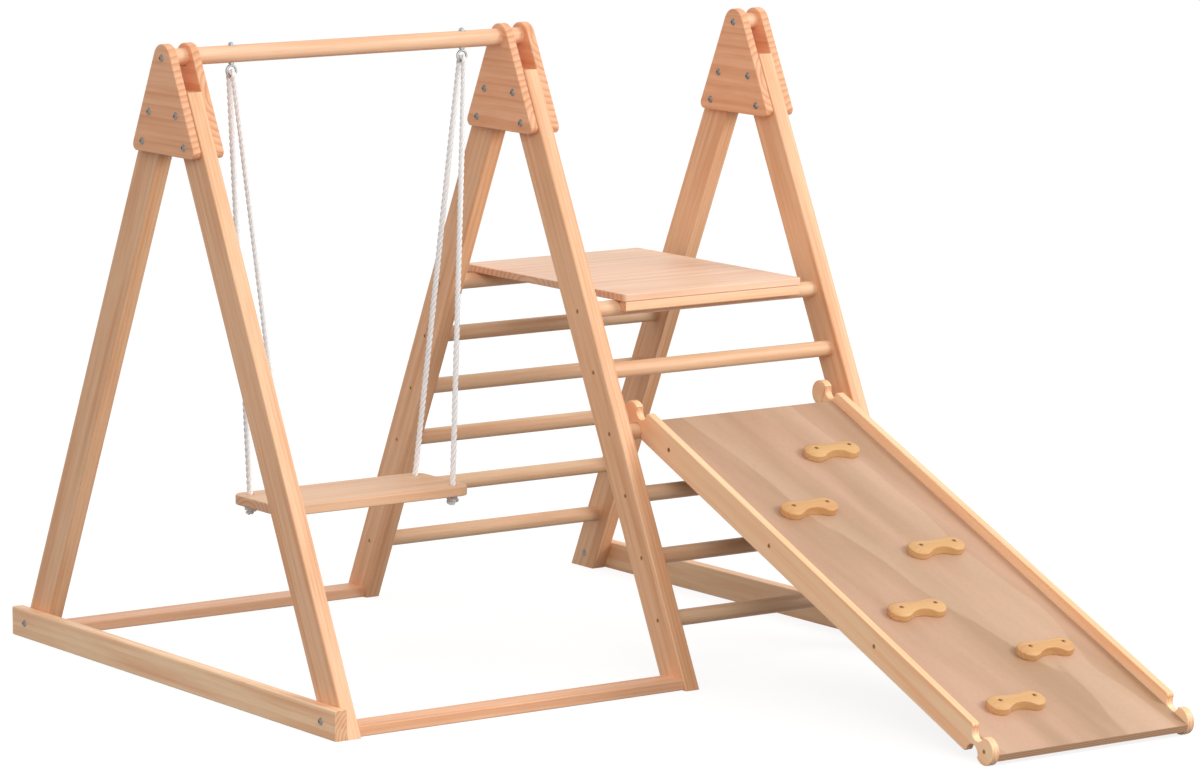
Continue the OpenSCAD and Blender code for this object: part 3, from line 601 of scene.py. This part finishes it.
# Studio: a camera at the photo's place, a floor and a backdrop that look white, straight
# or mirrored, but light the wood at a plain level, and two softboxes on the camera's
# side, the stronger one at the front right.
photo_w = 1200
focal_px = 5601.4
yaw, pitch, roll = (math.radians(a) for a in (34.4426, -8.7935, -0.1))
row_y = sum(c.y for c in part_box("swing_bar")) / 2
eye = Vector((-6.0561, row_y - 9.27916, 2.2392))
ahead = Vector((math.sin(yaw) * math.cos(pitch), math.cos(yaw) * math.cos(pitch), math.sin(pitch)))
right = Vector((math.cos(yaw), -math.sin(yaw), 0))
up = right.cross(ahead)
right, up = right * math.cos(roll) + up * math.sin(roll), up * math.cos(roll) - right * math.sin(roll)
camera = bpy.data.objects.new("camera", bpy.data.cameras.new("camera"))
camera.matrix_world = Matrix.Translation(eye) @ Matrix((right, up, -ahead)).transposed().to_4x4()
camera.data.sensor_width = 36
camera.data.lens = focal_px / photo_w * camera.data.sensor_width
camera.data.clip_end = 200
bpy.context.scene.collection.objects.link(camera)
bpy.context.scene.camera = camera


def seen_rays(tree):
    """One for rays that show the stage, straight or mirrored, and zero for those that it lights by."""
    rays = add(tree, "ShaderNodeLightPath", {})
    seen = add(tree, "ShaderNodeMath", {
        0: rays.outputs["Is Camera Ray"], 1: rays.outputs["Is Glossy Ray"]}, operation="MAXIMUM")
    seen = add(tree, "ShaderNodeMath", {
        0: seen.outputs["Value"], 1: rays.outputs["Is Transmission Ray"]}, operation="MAXIMUM")
    return seen.outputs["Value"]


floor_half, floor_glow = 60, 0.86
mesh = bpy.data.meshes.new("floor")
mesh.from_pydata([(-floor_half, -floor_half, 0), (floor_half, -floor_half, 0),
                  (floor_half, floor_half, 0), (-floor_half, floor_half, 0)], [], [(0, 1, 2, 3)])
floor = bpy.data.objects.new("floor", mesh)
bpy.context.scene.collection.objects.link(floor)
paint = bpy.data.materials.new("white_studio_floor")
paint.use_nodes = True
tree = paint.node_tree
tree.nodes.clear()
matt = add(tree, "ShaderNodeBsdfDiffuse", {"Color": linear("#7F7D7B")})
glow = add(tree, "ShaderNodeEmission", {
    "Strength": seen_rays(tree), "Color": (floor_glow, floor_glow, floor_glow, 1)})
both = add(tree, "ShaderNodeAddShader", {0: matt.outputs["BSDF"], 1: glow.outputs["Emission"]})
add(tree, "ShaderNodeOutputMaterial", {"Surface": both.outputs["Shader"]})
mesh.materials.append(paint)

softbox_d, sky_light = 3, 0.75
aim = Vector((0, 0, 0.5))
softboxes = (("key_softbox", 192, (3.6, -4.2, 3.3)), ("fill_softbox", 114, (-2.7, -4.8, 3.3)))
for name, watts, spot in softboxes:
    lamp = bpy.data.objects.new(name, bpy.data.lights.new(name, "AREA"))
    lamp.data.shape = "DISK"
    lamp.data.size = softbox_d
    lamp.data.energy = watts
    lamp.location = spot
    lamp.rotation_euler = (lamp.location - aim).to_track_quat("Z", "Y").to_euler()
    bpy.context.scene.collection.objects.link(lamp)
world = bpy.data.worlds.new("studio")
world.use_nodes = True
tree = world.node_tree
tree.nodes.clear()
strength = add(tree, "ShaderNodeMapRange", {"Value": seen_rays(tree), "To Min": sky_light})
backdrop = add(tree, "ShaderNodeBackground", {
    "Color": linear("#FFFFFF"), "Strength": strength.outputs["Result"]})
add(tree, "ShaderNodeOutputWorld", {"Surface": backdrop.outputs["Background"]})
bpy.context.scene.world = world
bpy.context.scene.view_settings.view_transform = "Standard"
